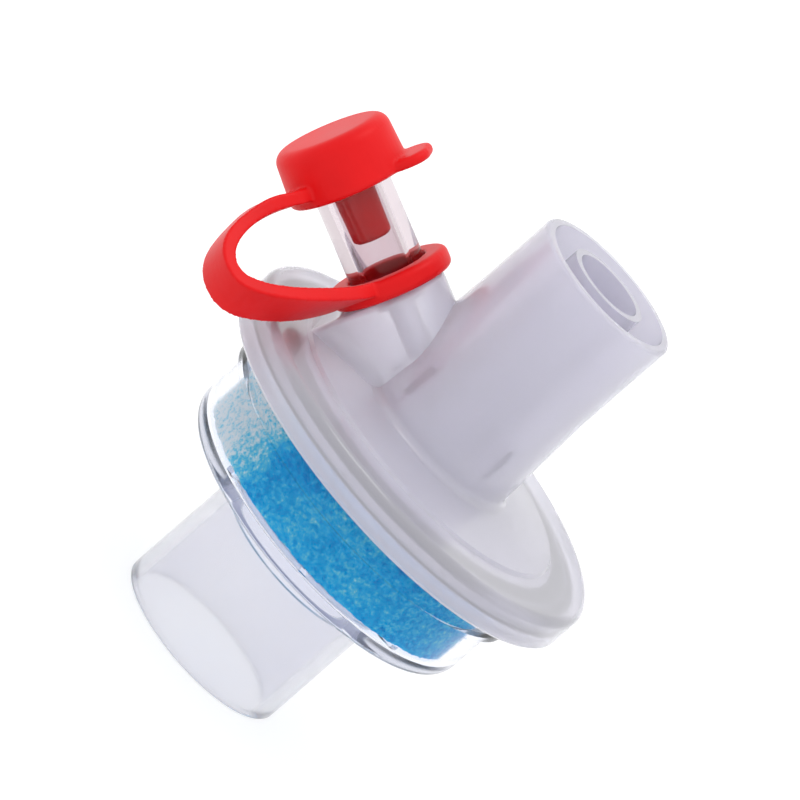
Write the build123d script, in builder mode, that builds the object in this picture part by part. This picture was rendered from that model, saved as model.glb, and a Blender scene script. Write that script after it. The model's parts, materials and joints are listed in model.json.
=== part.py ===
from build123d import *
import math
import os

os.makedirs("parts", exist_ok=True)

# Heat and moisture exchanging filter for a breathing circuit, in millimetres.
# The origin is the centre of the patient socket's end face. +Z runs up the main axis to the
# machine cone, and the sampling port leans out over +X.

# Main axis lengths
total_length = 49.0
rear_face_z = 13.7
seam_z = 25.2

# Moulded walls
wall = 1.2
face_rise = 0.6
assembly_gap = 0.1
edge_break = 0.3

# Patient socket, for a 15 mm cone
socket_bore_r = 7.7
socket_wall = 1.25
socket_depth = 11.5
throat_r = 7.1
socket_lip_round = 0.45
root_round = 0.8

# Rear chamber
chamber_r = 16.1
chamber_corner_round = 2.0
chamber_step_z = 20.6
chamber_step = 0.8
chamber_step_rise = 0.3
weld_flange_r = 18.85
weld_flange_thick = 1.15
foam_rib_count = 8
foam_rib_thick = 0.8
foam_rib_end_gap = 0.4

# Exchange foam and filter sheet
foam_thick = 9.0
foam_top_gap = 0.1
media_thick = 0.8
media_overlap = 1.9

# Front shell
rim_wall = 1.2
rim_bottom_gap = 0.15
rim_height = 3.7
rim_round = 0.9
face_step_r = 14.9
face_step = 0.3
face_crown = 0.65
clamp_width = 1.9

# Machine cone, with the coaxial inner tube
cone_tip_r = 7.6
cone_root_r = 8.1
cone_land = 10.0
cone_bore_r = 6.7
cone_lip_round = 0.35
cone_root_round = 0.9
inner_tube_r = 4.08
inner_tube_wall = 0.68
inner_tube_length = 18.5
spoke_count = 4
spoke_thick = 0.8
spoke_height = 3.5
spoke_sink = 0.2

# Sampling port
port_reach = 13.7
port_height = 35.3
port_lean_deg = 20.0
port_tube_r = 3.45
port_tube_length = 13.0
port_mouth_r = 2.15
port_bore_end_r = 1.95
port_bore_depth = 14.1
gas_hole_r = 1.0
boss_r = 4.45
boss_drop = 1.9
boss_length = 9.0
boss_foot = 8.6
boss_round = 0.5

# Tether ring and strap
ring_wall = 1.9
ring_thick = 1.9
ring_round = 0.6
ring_running_gap = 0.15
strap_width = 4.4
strap_thick = 1.25
strap_end_gap = 0.35
strap_root_deg = 64.0
strap_root_r = 4.2
strap_root_run = 4.5
strap_end_deg = 44.0
strap_end_r = 4.9
strap_end_run = 11.9
strap_end_rise_deg = 14.0
strap_end_lift = 1.2
strap_lower_bend = (-8.6, -16.5, 4.35)
strap_upper_bend = (-13.3, -16.8, 4.8)
strap_lean_deg = 23.0
strap_stations = 11

# Cap
cap_skirt_r = 5.5
cap_top_r = 5.2
cap_height = 5.15
cap_top_thick = 1.65
cap_bore_gap = 0.45
cap_round = 1.2
cap_seat_gap = 0.3
plug_gap = 0.15
plug_length = 8.4
plug_end_r = 1.75
tab_reach = 2.25
tab_width = 5.2
tab_thick = 1.0
tab_round = 1.9
tab_edge_round = 0.4

# Worked-out sizes
socket_outer_r = socket_bore_r + socket_wall
chamber_bore_r = chamber_r - wall
rim_chamber_r = chamber_r + chamber_step
rim_chamber_bore_r = rim_chamber_r - wall
weld_flange_z = seam_z - weld_flange_thick
floor_z = rear_face_z + wall
foam_top_z = seam_z - foam_top_gap
foam_bottom_z = foam_top_z - foam_thick
foam_r = chamber_bore_r - assembly_gap
media_r = rim_chamber_bore_r + media_overlap
media_top_z = seam_z + media_thick
rim_bore_r = weld_flange_r + assembly_gap
rim_r = rim_bore_r + rim_wall
rim_bottom_z = weld_flange_z - rim_bottom_gap
rim_top_z = rim_bottom_z + rim_height
clamp_outer_r = media_r + assembly_gap
clamp_inner_r = clamp_outer_r - clamp_width
face_step_z = rim_top_z + face_step
face_crown_z = face_step_z + face_crown
inner_tube_foot_z = total_length - inner_tube_length
inner_bore_r = inner_tube_r - inner_tube_wall

# The port's own frame: local x points along the cone, local y out along the port's axis
port_lean = math.radians(port_lean_deg)
port_side = Vector(-math.sin(port_lean), 0, math.cos(port_lean))
port_out = Vector(math.cos(port_lean), 0, math.sin(port_lean))
port_origin = Vector(port_reach, 0, port_height)
port_section = Plane(origin=port_origin, x_dir=port_side, z_dir=(0, 1, 0))
port_cross = Plane(origin=port_origin, x_dir=port_side, z_dir=port_out)
port_axis = Axis(port_origin, port_out)

boss_top = -boss_drop
port_mouth = boss_top + port_tube_length
bore_end = port_mouth - port_bore_depth
gas_hole_end = (cone_bore_r - wall - port_reach) / math.cos(port_lean)
ring_bottom = boss_top + ring_running_gap
ring_top = ring_bottom + ring_thick
ring_bore_r = port_tube_r + ring_running_gap
ring_r = ring_bore_r + ring_wall
cap_ceiling = port_mouth + cap_seat_gap
cap_top = cap_ceiling + cap_top_thick
cap_bottom = cap_top - cap_height
cap_bore_r = port_tube_r + cap_bore_gap
plug_r = port_mouth_r - plug_gap
plug_end = cap_ceiling - plug_length


# Rear housing: patient socket, chamber wall and weld flange, one clear moulding
rear_outline = [
    (socket_outer_r, 0),
    (socket_outer_r, rear_face_z),
    (chamber_r, rear_face_z + face_rise),
    (chamber_r, chamber_step_z),
    (rim_chamber_r, chamber_step_z + chamber_step_rise),
    (rim_chamber_r, weld_flange_z),
    (weld_flange_r, weld_flange_z),
    (weld_flange_r, seam_z),
    (rim_chamber_bore_r, seam_z),
    (rim_chamber_bore_r, chamber_step_z + chamber_step_rise),
    (chamber_bore_r, chamber_step_z),
    (chamber_bore_r, floor_z + face_rise),
    (throat_r + edge_break, floor_z),
    (throat_r, floor_z - edge_break),
    (throat_r, socket_depth),
    (socket_bore_r, socket_depth),
    (socket_bore_r, edge_break),
    (socket_bore_r + edge_break, 0),
]
rear_rounds = {
    (socket_outer_r, 0): socket_lip_round,
    (socket_outer_r, rear_face_z): root_round,
    (chamber_r, rear_face_z + face_rise): chamber_corner_round,
    (chamber_bore_r, floor_z + face_rise): chamber_corner_round - wall,
}
rear_radii = [rear_rounds.get(point, 0) for point in rear_outline]

with BuildPart() as rear_housing:
    with BuildSketch(Plane.XZ):
        with BuildLine():
            FilletPolyline(*rear_outline, radius=rear_radii, close=True)
        make_face()
    revolve(axis=Axis.Z)
    # Radial ribs hold the foam off the floor, so that gas spreads behind it
    rib_inner_r = throat_r + foam_rib_end_gap
    rib_outer_r = chamber_bore_r - foam_rib_end_gap
    rib_foot_z = rear_face_z + face_rise + foam_rib_end_gap
    with BuildSketch(Plane.XY.offset(rib_foot_z)):
        with PolarLocations((rib_inner_r + rib_outer_r) / 2, foam_rib_count):
            Rectangle(rib_outer_r - rib_inner_r, foam_rib_thick)
    extrude(amount=foam_bottom_z - rib_foot_z)

rear_housing.part.label = "rear_housing"
export_step(rear_housing.part, "parts/rear_housing.step")


# Heat and moisture exchange foam
with BuildPart() as hme_foam:
    with BuildSketch(Plane.XY.offset(foam_bottom_z)):
        Circle(foam_r)
    extrude(amount=foam_thick)

hme_foam.part.label = "hme_foam"
export_step(hme_foam.part, "parts/hme_foam.step")


# Filter sheet, clamped round its edge between the two shells
with BuildPart() as filter_media:
    with BuildSketch(Plane.XY.offset(seam_z)):
        Circle(media_r)
    extrude(amount=media_thick)

filter_media.part.label = "filter_media"
export_step(filter_media.part, "parts/filter_media.step")


# Front housing: rim, face, machine cone, inner tube and sampling port, one frosted moulding
front_outline = [
    (0, rim_bottom_z),
    (rim_r - edge_break, rim_bottom_z),
    (rim_r, rim_bottom_z + edge_break),
    (rim_r, rim_top_z),
    (face_step_r + face_step, rim_top_z),
    (face_step_r, face_step_z),
    (cone_root_r, face_crown_z),
    (cone_tip_r, total_length - cone_land),
    (cone_tip_r, total_length),
    (0, total_length),
]
front_rounds = {
    (rim_r, rim_top_z): rim_round,
    (cone_root_r, face_crown_z): cone_root_round,
    (cone_tip_r, total_length): cone_lip_round,
}
front_radii = [front_rounds.get(point, 0) for point in front_outline]

cavity_outline = [
    (0, rim_bottom_z - wall),
    (rim_bore_r, rim_bottom_z - wall),
    (rim_bore_r, seam_z),
    (clamp_outer_r, seam_z),
    (clamp_outer_r, media_top_z),
    (clamp_inner_r, media_top_z),
    (clamp_inner_r, rim_top_z - wall),
    (face_step_r - face_step, rim_top_z - wall),
    (face_step_r - wall, face_step_z - wall),
    (cone_bore_r, face_crown_z - wall),
    (cone_bore_r, total_length + wall),
    (0, total_length + wall),
]

# The port's boss is a round post with a straight-sided foot that runs down into the face
with BuildPart() as port_boss:
    with BuildSketch(port_cross.offset(boss_top)):
        Circle(boss_r)
        with Locations((-boss_foot / 2, 0)):
            Rectangle(boss_foot, 2 * boss_r)
    extrude(amount=-boss_length)
    fillet(port_boss.faces().sort_by(port_axis)[-1].edges(), radius=boss_round)

with BuildPart() as front_housing:
    with BuildSketch(Plane.XZ):
        with BuildLine():
            FilletPolyline(*front_outline, radius=front_radii, close=True)
        make_face()
    revolve(axis=Axis.Z)
    add(port_boss)
    with BuildSketch(Plane.XZ):
        with BuildLine():
            Polyline(*cavity_outline, close=True)
        make_face()
    revolve(axis=Axis.Z, mode=Mode.SUBTRACT)
    # Inner tube, carried on spokes at its foot
    with BuildSketch(Plane.XY.offset(inner_tube_foot_z)):
        Circle(inner_tube_r)
        Circle(inner_bore_r, mode=Mode.SUBTRACT)
    extrude(amount=inner_tube_length)
    spoke_inner_r = inner_tube_r - spoke_sink
    spoke_outer_r = cone_bore_r + spoke_sink
    spoke_middle_r = (spoke_inner_r + spoke_outer_r) / 2
    with BuildSketch(Plane.XY.offset(inner_tube_foot_z)):
        with PolarLocations(spoke_middle_r, spoke_count, start_angle=180 / spoke_count):
            Rectangle(spoke_outer_r - spoke_inner_r, spoke_thick)
    extrude(amount=spoke_height)
    # Port tube, then its tapered bore and the gas hole through to the cone
    with BuildSketch(port_section):
        with BuildLine():
            Polyline(
                (0, boss_top - boss_round),
                (port_tube_r, boss_top - boss_round),
                (port_tube_r, port_mouth - edge_break),
                (port_tube_r - edge_break, port_mouth),
                (0, port_mouth),
                close=True,
            )
        make_face()
    revolve(axis=port_axis)
    with BuildSketch(port_section):
        with BuildLine():
            Polyline(
                (0, port_mouth),
                (port_mouth_r, port_mouth),
                (port_bore_end_r, bore_end),
                (gas_hole_r, bore_end),
                (gas_hole_r, gas_hole_end),
                (0, gas_hole_end),
                close=True,
            )
        make_face()
    revolve(axis=port_axis, mode=Mode.SUBTRACT)

front_housing.part.label = "front_housing"
export_step(front_housing.part, "parts/front_housing.step")


# Tether: a ring that turns on the port, and a flat strap that loops over the rim to the cap. The
# strap leaves the ring square to the port's axis and comes down to the cap from a little above it.


def round_port(angle_deg, rise_deg=0):
    """The direction that points out from the port's axis, at an angle from the side facing the rim."""
    angle = math.radians(angle_deg)
    rise = math.radians(rise_deg)
    flat = port_side * math.cos(angle) + port_cross.y_dir * math.sin(angle)
    return port_out * math.sin(rise) - flat * math.cos(rise)


def strap_across(t):
    """The direction of the strap's width, which leans over the rim half way along the loop."""
    turn = math.radians(strap_root_deg + (strap_end_deg - strap_root_deg) * t)
    lean = math.radians(strap_lean_deg) * math.sin(math.pi * t)
    flat = port_side * math.sin(turn) - port_cross.y_dir * math.cos(turn)
    return flat * math.cos(lean) + port_out * math.sin(lean)


strap_root_level = ring_top - strap_thick / 2
strap_end_level = cap_bottom + strap_end_lift
strap_root = port_origin + port_out * strap_root_level + round_port(strap_root_deg) * strap_root_r
strap_end = port_origin + port_out * strap_end_level + round_port(strap_end_deg) * strap_end_r
strap_poles = [
    strap_root,
    strap_root + round_port(strap_root_deg) * strap_root_run,
    port_cross.from_local_coords(strap_lower_bend),
    port_cross.from_local_coords(strap_upper_bend),
    strap_end + round_port(strap_end_deg, strap_end_rise_deg) * strap_end_run,
    strap_end,
]

with BuildPart() as tether:
    with BuildLine() as strap_line:
        Bezier(*strap_poles)
    for station in range(strap_stations):
        t = station / (strap_stations - 1)
        along = strap_line.line % t
        across = strap_across(t) - along * strap_across(t).dot(along)
        with BuildSketch(Plane(origin=strap_line.line @ t, x_dir=across, z_dir=along)):
            Rectangle(strap_width, strap_thick)
    loft()
    # The strap's far end stops just short of the cap's skirt
    with BuildSketch(port_cross.offset(cap_bottom - strap_thick)):
        Circle(cap_skirt_r + strap_end_gap)
    extrude(amount=cap_height, mode=Mode.SUBTRACT)
    with BuildSketch(port_section):
        with BuildLine():
            FilletPolyline(
                (ring_bore_r, ring_bottom),
                (ring_r, ring_bottom),
                (ring_r, ring_top),
                (ring_bore_r, ring_top),
                radius=[0, ring_round, ring_round, 0],
                close=True,
            )
        make_face()
    revolve(axis=port_axis)

tether.part.label = "tether"
export_step(tether.part, "parts/tether.step")


# Cap with its plug and pull tab
with BuildPart() as pull_tab:
    tab_root = (cap_bore_r + cap_skirt_r) / 2
    tab_tip = cap_skirt_r + tab_reach
    with BuildSketch(port_cross.offset(cap_bottom)) as tab_sketch:
        with Locations(((tab_root + tab_tip) / 2, 0)):
            Rectangle(tab_tip - tab_root, tab_width)
        fillet(tab_sketch.vertices().sort_by(Axis.X)[-2:], tab_round)
    extrude(amount=tab_thick)
    fillet(pull_tab.edges().filter_by(port_axis, reverse=True), radius=tab_edge_round)

with BuildPart() as cap:
    with BuildSketch(port_section):
        with BuildLine():
            FilletPolyline(
                (0, cap_top),
                (cap_top_r, cap_top),
                (cap_skirt_r, cap_bottom + edge_break),
                (cap_skirt_r - edge_break, cap_bottom),
                (cap_bore_r, cap_bottom),
                (cap_bore_r, cap_ceiling),
                (plug_r, cap_ceiling),
                (plug_end_r, plug_end + edge_break),
                (plug_end_r - edge_break, plug_end),
                (0, plug_end),
                radius=[0, cap_round, 0, 0, 0, 0, 0, 0, 0, 0],
                close=True,
            )
        make_face()
    revolve(axis=port_axis)
    add(pull_tab)

cap.part.label = "cap"
export_step(cap.part, "parts/cap.step")
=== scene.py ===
import json
import math

import bmesh
import bpy
from mathutils import Matrix, Vector, noise


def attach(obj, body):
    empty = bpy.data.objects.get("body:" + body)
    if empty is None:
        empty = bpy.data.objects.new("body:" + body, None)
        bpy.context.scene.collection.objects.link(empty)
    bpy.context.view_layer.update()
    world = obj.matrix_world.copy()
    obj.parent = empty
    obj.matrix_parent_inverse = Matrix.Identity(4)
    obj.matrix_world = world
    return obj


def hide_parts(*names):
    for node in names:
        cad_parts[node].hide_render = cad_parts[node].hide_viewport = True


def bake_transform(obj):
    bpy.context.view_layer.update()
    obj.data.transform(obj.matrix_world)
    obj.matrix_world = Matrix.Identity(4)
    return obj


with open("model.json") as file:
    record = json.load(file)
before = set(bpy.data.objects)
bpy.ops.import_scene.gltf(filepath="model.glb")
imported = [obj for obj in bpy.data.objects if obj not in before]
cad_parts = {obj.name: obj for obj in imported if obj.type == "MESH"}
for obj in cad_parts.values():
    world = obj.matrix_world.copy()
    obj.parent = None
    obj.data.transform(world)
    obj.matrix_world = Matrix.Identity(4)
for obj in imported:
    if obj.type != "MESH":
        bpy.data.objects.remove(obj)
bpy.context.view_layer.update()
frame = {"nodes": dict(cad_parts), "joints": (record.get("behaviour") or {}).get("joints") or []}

MM = 0.001

# The camera stands a metre off, turned so that the main axis climbs to the right
AXIS_TURN_DEG = 41.097
AXIS_TILT_DEG = 16.716
PORT_TURN_DEG = 5.0
CAMERA_PLACE = Vector((17.395, 21.002, 1000.0)) * MM
CAMERA_CLIP = (0.05, 20)
FOCAL_PIXELS = 11466
PICTURE_PIXELS = 800
SENSOR_WIDTH = 36

# How a node's mesh is welded and shaded
WELD_DISTANCE = 0.002 * MM
SHARP_EDGE_DEG = 35
LARGE_FACE_WEIGHT = 80
SMOOTH_FACTOR = 0.5

# Where the shells change their finish: up the main axis, and along and off the port's axis
SOCKET_TOP = 13.0 * MM
PORT_CLEAR_FROM = -2.0 * MM
PORT_CLEAR_R = 3.5 * MM

# The foam: its skin, its spread to the chamber's wall, and the side painted paler as a painted
# highlight of the light reflecting on the drum's shell
FOAM_VOXEL = 0.35 * MM
FOAM_SMOOTH_TURNS = 3
FOAM_GRAIN = 0.4 * MM
FOAM_GRAIN_DEPTH = 0.22 * MM
FOAM_SWELL_FROM = 20.9 * MM
FOAM_SWELL_TO = 21.5 * MM
FOAM_SPREAD = 1.004
FOAM_SWELL = 1.045
FOAM_HIGHLIGHT_FROM = 8.2 * MM
FOAM_HIGHLIGHT_TO = 11.6 * MM

# The red moulding and the plug, by places along and off the port's axis
PLUG_TOP = 11.4 * MM
PLUG_TOP_MARGIN = 0.01 * MM
PLUG_R = 2.6 * MM
PLUG_VOXEL = 0.1 * MM
PLUG_SMOOTH_TURNS = 3
STRAP_END_FROM = 7.5 * MM
STRAP_END_R = 6.6 * MM
STRAP_END_SINK = 0.9 * MM
MOULDING_VOXEL = 0.15 * MM
MOULDING_SMOOTH_TURNS = 4

# Light and background
LAMP_TARGET = Vector((0, 0, 25)) * MM
KEY_PLACE_IN_VIEW = Vector((-0.64, 0.24, 0.28))
KEY_SIZE = 0.25
KEY_POWER = 3.6
TOP_PLACE = Vector((0.1, 0.0, 0.7))
TOP_SIZE = 0.3
TOP_POWER = 0.8
FILL_COLOUR = (0.96, 0.97, 1.0, 1)
WHITE = (1, 1, 1, 1)
FLOOR_REACH = 1.5
FLOOR_DROP = 0.02 * MM
FLOOR_COLOUR = (0.8, 0.8, 0.8, 1)
FLOOR_GLOW = 0.75
FLOOR_DIM_COLOUR = (0.4, 0.4, 0.4, 1)
LIGHT_BOUNCES = 24
TRANSPARENT_BOUNCES = 16

nodes = frame["nodes"]
joints = {joint["name"]: joint for joint in frame["joints"]}

# The sampling port's axis, as the swivel joint gives it
port_origin = Vector(joints["tether_swivel"]["pos_m"])
port_out = Vector(joints["tether_swivel"]["axis"]).normalized()


# Camera

def view_axes():
    """The part's X, Y and Z axes as the camera sees them: right, up and towards it."""
    turn = math.radians(AXIS_TURN_DEG)
    tilt = math.radians(AXIS_TILT_DEG)
    roll = math.radians(PORT_TURN_DEG)
    along = Vector((math.cos(turn), math.sin(turn), 0))
    across = Vector((-math.sin(turn), math.cos(turn), 0))
    z_axis = along * math.cos(tilt) + Vector((0, 0, math.sin(tilt)))
    away = -along * math.sin(tilt) + Vector((0, 0, math.cos(tilt)))
    x_axis = across * math.cos(roll) + away * math.sin(roll)
    y_axis = away * math.cos(roll) - across * math.sin(roll)
    return x_axis, y_axis, z_axis


# The axes are the columns of the part-to-view turn, so as rows they make its inverse
view_to_part = Matrix(view_axes())


def make_camera():
    data = bpy.data.cameras.new("camera")
    data.sensor_width = SENSOR_WIDTH
    data.lens = FOCAL_PIXELS / PICTURE_PIXELS * SENSOR_WIDTH
    data.clip_start, data.clip_end = CAMERA_CLIP
    camera = bpy.data.objects.new("camera", data)
    bpy.context.scene.collection.objects.link(camera)
    place = Matrix.Translation(view_to_part @ CAMERA_PLACE)
    camera.matrix_world = place @ view_to_part.to_4x4()
    bpy.context.scene.camera = camera


# Node helpers

def linear(red, green, blue):
    """A colour as it is seen on screen, 0 to 255, in Blender's linear values."""
    def one(value):
        share = value / 255
        return share / 12.92 if share <= 0.04045 else ((share + 0.055) / 1.055) ** 2.4
    return one(red), one(green), one(blue)


def new_material(name):
    material = bpy.data.materials.new(name)
    material.use_nodes = True
    tree = material.node_tree
    shader = tree.nodes["Principled BSDF"]
    return material, tree, shader


def set_inputs(node, **values):
    for name, value in values.items():
        node.inputs[name.replace("_", " ")].default_value = value


def add_node(tree, kind, **values):
    node = tree.nodes.new(kind)
    set_inputs(node, **values)
    return node


def add_math(tree, operation, first, second):
    node = tree.nodes.new("ShaderNodeMath")
    node.operation = operation
    tree.links.new(first, node.inputs[0])
    tree.links.new(second, node.inputs[1])
    return node.outputs[0]


def object_coordinates(tree):
    return tree.nodes.new("ShaderNodeTexCoord").outputs["Object"]


def noise_texture(tree, scale, detail=4.0, roughness=0.5):
    texture = add_node(
        tree, "ShaderNodeTexNoise", Scale=scale, Detail=detail, Roughness=roughness
    )
    tree.links.new(object_coordinates(tree), texture.inputs["Vector"])
    return texture.outputs["Fac"]


def add_colour(tree, shader, factor, stops):
    """Colours the surface along a factor, by stops of position and screen colour."""
    ramp = tree.nodes.new("ShaderNodeValToRGB")
    elements = ramp.color_ramp.elements
    while len(elements) < len(stops):
        elements.new(0.5)
    for element, (position, colour) in zip(elements, stops):
        element.position = position
        element.color = (*linear(*colour), 1)
    tree.links.new(factor, ramp.inputs["Fac"])
    tree.links.new(ramp.outputs["Color"], shader.inputs["Base Color"])


def add_roughness(tree, shader, factor, low, high):
    node = add_node(tree, "ShaderNodeMapRange", To_Min=low, To_Max=high)
    tree.links.new(factor, node.inputs["Value"])
    tree.links.new(node.outputs["Result"], shader.inputs["Roughness"])


def add_bump(tree, shader, height, distance, strength):
    bump = add_node(tree, "ShaderNodeBump", Distance=distance, Strength=strength)
    tree.links.new(height, bump.inputs["Height"])
    tree.links.new(bump.outputs["Normal"], shader.inputs["Normal"])


def add_absorption(tree, density, colour):
    absorb = add_node(
        tree, "ShaderNodeVolumeAbsorption", Density=density, Color=(*linear(*colour), 1)
    )
    output = tree.nodes["Material Output"]
    tree.links.new(absorb.outputs["Volume"], output.inputs["Volume"])


# Materials

def clear_plastic():
    material, tree, shader = new_material("clear_plastic")
    set_inputs(
        shader,
        Base_Color=(*linear(250, 251, 255), 1),
        Transmission_Weight=1.0,
        IOR=1.15,
        Coat_Weight=0.12,
        Coat_Roughness=0.06,
    )
    waves = noise_texture(tree, scale=90, detail=2)
    add_roughness(tree, shader, waves, 0.06, 0.12)
    add_bump(tree, shader, waves, distance=0.2 * MM, strength=0.12)
    add_absorption(tree, 14.0, (125, 140, 190))
    return material


def hazy_plastic():
    """The patient socket's part of the clear moulding, which looks duller than the drum."""
    material, tree, shader = new_material("hazy_plastic")
    set_inputs(shader, Transmission_Weight=0.82, IOR=1.2, Coat_Weight=0.4, Coat_Roughness=0.1)
    clouds = noise_texture(tree, scale=60, detail=4)
    add_colour(tree, shader, clouds, [(0.3, (246, 245, 251)), (0.7, (252, 251, 254))])
    add_roughness(tree, shader, clouds, 0.14, 0.22)
    add_bump(tree, shader, clouds, distance=0.2 * MM, strength=0.1)
    return material


def milky_plastic():
    material, tree, shader = new_material("frosted_plastic")
    set_inputs(shader, Transmission_Weight=0.6, IOR=1.3, Coat_Weight=0.8, Coat_Roughness=0.08)
    clouds = noise_texture(tree, scale=70, detail=5)
    add_colour(tree, shader, clouds, [(0.3, (240, 238, 249)), (0.7, (247, 245, 254))])
    add_roughness(tree, shader, clouds, 0.28, 0.4)
    add_bump(tree, shader, clouds, distance=0.2 * MM, strength=0.1)
    return material


def clear_port():
    material, tree, shader = new_material("clear_port")
    set_inputs(
        shader,
        Base_Color=(*linear(226, 214, 218), 1),
        Transmission_Weight=1.0,
        IOR=1.2,
        Coat_Weight=0.25,
        Coat_Roughness=0.05,
    )
    waves = noise_texture(tree, scale=150, detail=2)
    add_roughness(tree, shader, waves, 0.03, 0.08)
    add_bump(tree, shader, waves, distance=0.1 * MM, strength=0.1)
    return material


def blue_foam():
    """Grainy foam in random patches, paler and more broken up on the side under the sampling
    port, where the paleness is a painted highlight of the light reflecting on the drum's shell.
    """
    material, tree, shader = new_material("blue_foam")
    set_inputs(shader, Roughness=0.95, Specular_IOR_Level=0.0)
    grains = noise_texture(tree, scale=2000, detail=6, roughness=0.8)
    patches = noise_texture(tree, scale=260, detail=3)
    across = tree.nodes.new("ShaderNodeSeparateXYZ")
    tree.links.new(object_coordinates(tree), across.inputs[0])
    # Painted highlight: the foam turns paler towards +X, standing in for light reflecting on the
    # drum's shell
    highlight_side = add_node(
        tree,
        "ShaderNodeMapRange",
        From_Min=FOAM_HIGHLIGHT_FROM,
        From_Max=FOAM_HIGHLIGHT_TO,
        To_Min=-0.05,
        To_Max=0.22,
    )
    tree.links.new(across.outputs["X"], highlight_side.inputs["Value"])
    # Random patches of tone plus the painted highlight
    patches_and_highlight = tree.nodes.new("ShaderNodeMath")
    patches_and_highlight.operation = "MULTIPLY_ADD"
    tree.links.new(patches, patches_and_highlight.inputs[0])
    patches_and_highlight.inputs[1].default_value = 0.3
    tree.links.new(highlight_side.outputs["Result"], patches_and_highlight.inputs[2])
    paleness = add_math(tree, "ADD", grains, patches_and_highlight.outputs[0])
    deep, plain = (0.48, (0, 142, 220)), (0.6, (0, 180, 242))
    pale, white = (0.74, (100, 212, 240)), (0.88, (235, 248, 252))
    add_colour(tree, shader, paleness, [deep, plain, pale, white])
    add_bump(tree, shader, grains, distance=0.3 * MM, strength=0.8)
    return material


def filter_sheet():
    material, tree, shader = new_material("filter_sheet")
    set_inputs(shader, Roughness=0.9)
    fibres = noise_texture(tree, scale=900, detail=6, roughness=0.65)
    add_colour(tree, shader, fibres, [(0.3, (222, 224, 232)), (0.7, (246, 247, 250))])
    add_bump(tree, shader, fibres, distance=0.2 * MM, strength=0.4)
    return material


def red_plastic():
    material, tree, shader = new_material("red_plastic")
    set_inputs(
        shader,
        Specular_IOR_Level=0.2,
        Subsurface_Weight=0.12,
        Subsurface_Radius=(1.0, 0.15, 0.08),
        Subsurface_Scale=0.8 * MM,
    )
    clouds = noise_texture(tree, scale=160, detail=4)
    add_colour(tree, shader, clouds, [(0.25, (224, 8, 13)), (0.75, (238, 20, 23))])
    add_roughness(tree, shader, clouds, 0.36, 0.5)
    fine = noise_texture(tree, scale=2200, detail=2)
    add_bump(tree, shader, fine, distance=0.05 * MM, strength=0.25)
    return material


# Mesh helpers

def along_port(point):
    return (point - port_origin).dot(port_out)


def off_port_axis(point):
    return (point - port_origin - port_out * along_port(point)).length


def corners_of(piece, polygon):
    return [piece.data.vertices[index].co for index in polygon.vertices]


def paint(piece, *materials):
    piece.data.materials.clear()
    for material in materials:
        piece.data.materials.append(material)


def shade_smooth(mesh):
    for polygon in mesh.polygons:
        polygon.use_smooth = True


def copy_of_node(name, new_name):
    """A welded, smoothly shaded copy of a node's mesh that stands for the node."""
    mesh = nodes[name].data.copy()
    mesh.name = new_name
    piece = bpy.data.objects.new(new_name, mesh)
    bpy.context.scene.collection.objects.link(piece)
    work = bmesh.new()
    work.from_mesh(mesh)
    bmesh.ops.remove_doubles(work, verts=work.verts, dist=WELD_DISTANCE)
    work.to_mesh(mesh)
    work.free()
    # The normals that came with the node don't fit the welded mesh
    old_normals = mesh.attributes.get("custom_normal")
    if old_normals:
        mesh.attributes.remove(old_normals)
    shade_smooth(mesh)
    mesh.set_sharp_from_angle(angle=math.radians(SHARP_EDGE_DEG))
    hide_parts(name)
    return piece


def apply_modifiers(piece):
    depsgraph = bpy.context.evaluated_depsgraph_get()
    mesh = bpy.data.meshes.new_from_object(piece.evaluated_get(depsgraph))
    piece.modifiers.clear()
    piece.data = mesh


def even_out_shading(piece):
    """Lets the large faces lead the shading, so that small rounds look even between them."""
    weighted = piece.modifiers.new("shading", "WEIGHTED_NORMAL")
    weighted.mode = "FACE_AREA_WITH_ANGLE"
    weighted.weight = LARGE_FACE_WEIGHT
    weighted.keep_sharp = True
    apply_modifiers(piece)


def soften(piece, voxel, turns):
    """Rebuilds a piece as one skin with soft edges, as a moulding in a soft plastic has."""
    remesh = piece.modifiers.new("skin", "REMESH")
    remesh.mode = "VOXEL"
    remesh.voxel_size = voxel
    smooth = piece.modifiers.new("soft", "SMOOTH")
    smooth.factor = SMOOTH_FACTOR
    smooth.iterations = turns
    apply_modifiers(piece)
    shade_smooth(piece.data)


def roughen(piece, grain, depth):
    """Pulls the surface in by up to a depth, in grains of one size, so its outline is ragged."""
    normals = [vertex.normal.copy() for vertex in piece.data.vertices]
    for vertex, normal in zip(piece.data.vertices, normals):
        share = noise.noise(vertex.co / grain)
        vertex.co -= normal * depth * (0.5 + 0.5 * share)


def fill_chamber(piece):
    """Spreads the foam to the chamber's wall, which stands further out above its step."""
    for vertex in piece.data.vertices:
        share = (vertex.co.z - FOAM_SWELL_FROM) / (FOAM_SWELL_TO - FOAM_SWELL_FROM)
        share = min(max(share, 0), 1)
        spread = FOAM_SPREAD + (FOAM_SWELL - FOAM_SPREAD) * share
        vertex.co.x *= spread
        vertex.co.y *= spread


def is_plug(face):
    centre = face.calc_center_median()
    below_top = along_port(centre) < PLUG_TOP - PLUG_TOP_MARGIN
    return below_top and off_port_axis(centre) < PLUG_R


def keep_faces(piece, wanted):
    """Leaves only the wanted faces of a piece and closes the hole that the others leave."""
    work = bmesh.new()
    work.from_mesh(piece.data)
    unwanted = [face for face in work.faces if not wanted(face)]
    bmesh.ops.delete(work, geom=unwanted, context="FACES")
    rim = [edge for edge in work.edges if edge.is_boundary]
    bmesh.ops.holes_fill(work, edges=rim, sides=0)
    bmesh.ops.recalc_face_normals(work, faces=work.faces)
    work.to_mesh(piece.data)
    work.free()


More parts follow.
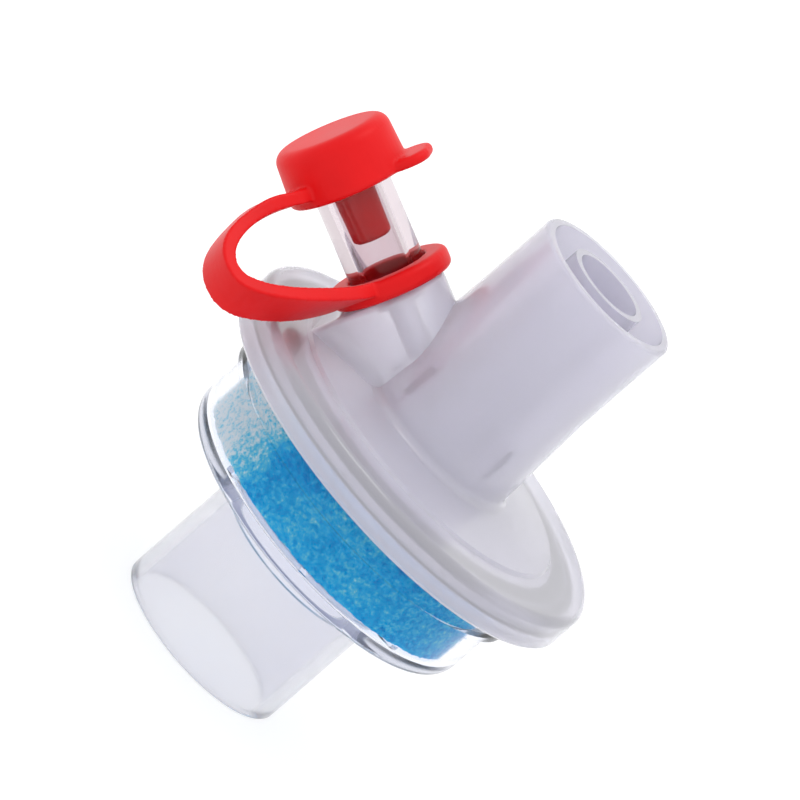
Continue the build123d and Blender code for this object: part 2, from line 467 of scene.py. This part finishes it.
def join_pieces(piece, other):
    """Adds another piece's mesh to a piece's own and drops the other piece."""
    work = bmesh.new()
    work.from_mesh(piece.data)
    work.from_mesh(other.data)
    work.to_mesh(piece.data)
    work.free()
    bpy.data.objects.remove(other)


def stretch_strap_end(piece):
    """Pushes the strap's end into the cap's skirt, which it is moulded onto."""
    for vertex in piece.data.vertices:
        reach = along_port(vertex.co)
        away = vertex.co - port_origin - port_out * reach
        if reach > STRAP_END_FROM and away.length < STRAP_END_R:
            vertex.co -= away.normalized() * STRAP_END_SINK


# Pieces

def make_rear_shell():
    rear = copy_of_node("rear_housing", "rear_shell")
    even_out_shading(rear)
    paint(rear, clear_plastic(), hazy_plastic())
    for polygon in rear.data.polygons:
        if max(corner.z for corner in corners_of(rear, polygon)) < SOCKET_TOP:
            polygon.material_index = 1
    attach(rear, "housing")


def make_front_shell():
    front = copy_of_node("front_housing", "front_shell")
    even_out_shading(front)
    paint(front, milky_plastic(), clear_port())
    for polygon in front.data.polygons:
        widest = max(off_port_axis(corner) for corner in corners_of(front, polygon))
        if along_port(polygon.center) > PORT_CLEAR_FROM and widest < PORT_CLEAR_R:
            polygon.material_index = 1
    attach(front, "housing")


def make_foam_disc():
    foam = copy_of_node("hme_foam", "foam_disc")
    soften(foam, FOAM_VOXEL, FOAM_SMOOTH_TURNS)
    fill_chamber(foam)
    roughen(foam, FOAM_GRAIN, FOAM_GRAIN_DEPTH)
    paint(foam, blue_foam())
    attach(foam, "housing")


def make_filter_disc():
    sheet = copy_of_node("filter_media", "filter_disc")
    paint(sheet, filter_sheet())
    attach(sheet, "housing")


def make_plug(red):
    """The cap's plug, a piece of its own so that it never stretches."""
    plug = copy_of_node("cap", "cap_plug")
    keep_faces(plug, is_plug)
    soften(plug, PLUG_VOXEL, PLUG_SMOOTH_TURNS)
    paint(plug, red)
    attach(plug, "cap")


def make_red_moulding(red):
    """Ring, strap and cap as one soft moulding."""
    cap = copy_of_node("cap", "cap_shell")
    keep_faces(cap, lambda face: not is_plug(face))
    moulding = copy_of_node("tether", "red_moulding")
    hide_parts("cap")
    stretch_strap_end(moulding)
    join_pieces(moulding, cap)
    soften(moulding, MOULDING_VOXEL, MOULDING_SMOOTH_TURNS)
    paint(moulding, red)
    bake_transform(moulding)


# Stage

def mix_by_ray(tree, plain, seen):
    """The seen shader for camera, glossy and transmission rays, the plain one for the rest."""
    path = tree.nodes.new("ShaderNodeLightPath")
    is_seen = path.outputs["Is Camera Ray"]
    for kind in ("Is Glossy Ray", "Is Transmission Ray"):
        is_seen = add_math(tree, "MAXIMUM", is_seen, path.outputs[kind])
    mix = tree.nodes.new("ShaderNodeMixShader")
    tree.links.new(is_seen, mix.inputs["Fac"])
    tree.links.new(plain.outputs[0], mix.inputs[1])
    tree.links.new(seen.outputs[0], mix.inputs[2])
    return mix.outputs[0]


def make_floor():
    data = bpy.data.meshes.new("floor")
    quarters = ((-1, -1), (1, -1), (1, 1), (-1, 1))
    corners = [(x * FLOOR_REACH, y * FLOOR_REACH, 0) for x, y in quarters]
    data.from_pydata(corners, [], [(0, 1, 2, 3)])
    floor = bpy.data.objects.new("floor", data)
    floor.location.z = -FLOOR_DROP
    bpy.context.scene.collection.objects.link(floor)
    material, tree, shader = new_material("floor")
    set_inputs(shader, Base_Color=FLOOR_COLOUR, Roughness=0.9)
    glow = add_node(tree, "ShaderNodeEmission", Strength=FLOOR_GLOW)
    dim = add_node(tree, "ShaderNodeBsdfDiffuse", Color=FLOOR_DIM_COLOUR)
    seen = tree.nodes.new("ShaderNodeAddShader")
    tree.links.new(glow.outputs[0], seen.inputs[0])
    tree.links.new(dim.outputs[0], seen.inputs[1])
    surface = mix_by_ray(tree, plain=shader, seen=seen)
    tree.links.new(surface, tree.nodes["Material Output"].inputs["Surface"])
    paint(floor, material)


def make_world():
    world = bpy.data.worlds.new("world")
    bpy.context.scene.world = world
    world.use_nodes = True
    tree = world.node_tree
    fill = tree.nodes["Background"]
    set_inputs(fill, Color=FILL_COLOUR, Strength=1.0)
    white = add_node(tree, "ShaderNodeBackground", Color=WHITE, Strength=1.0)
    surface = mix_by_ray(tree, plain=fill, seen=white)
    tree.links.new(surface, tree.nodes["World Output"].inputs["Surface"])


def add_lamp(name, place, size, power):
    data = bpy.data.lights.new(name, "AREA")
    data.size = size
    data.energy = power
    lamp = bpy.data.objects.new(name, data)
    bpy.context.scene.collection.objects.link(lamp)
    lamp.location = LAMP_TARGET + place
    lamp.rotation_euler = (-place).to_track_quat("-Z", "Y").to_euler()


make_rear_shell()
make_front_shell()
make_foam_disc()
make_filter_disc()
red = red_plastic()
make_plug(red)
make_red_moulding(red)

make_floor()
make_world()
make_camera()
add_lamp("key", view_to_part @ KEY_PLACE_IN_VIEW, KEY_SIZE, KEY_POWER)
add_lamp("top", TOP_PLACE, TOP_SIZE, TOP_POWER)

bpy.context.scene.view_settings.view_transform = "Standard"
cycles = bpy.context.scene.cycles
cycles.max_bounces = LIGHT_BOUNCES
cycles.transmission_bounces = LIGHT_BOUNCES
cycles.transparent_max_bounces = TRANSPARENT_BOUNCES
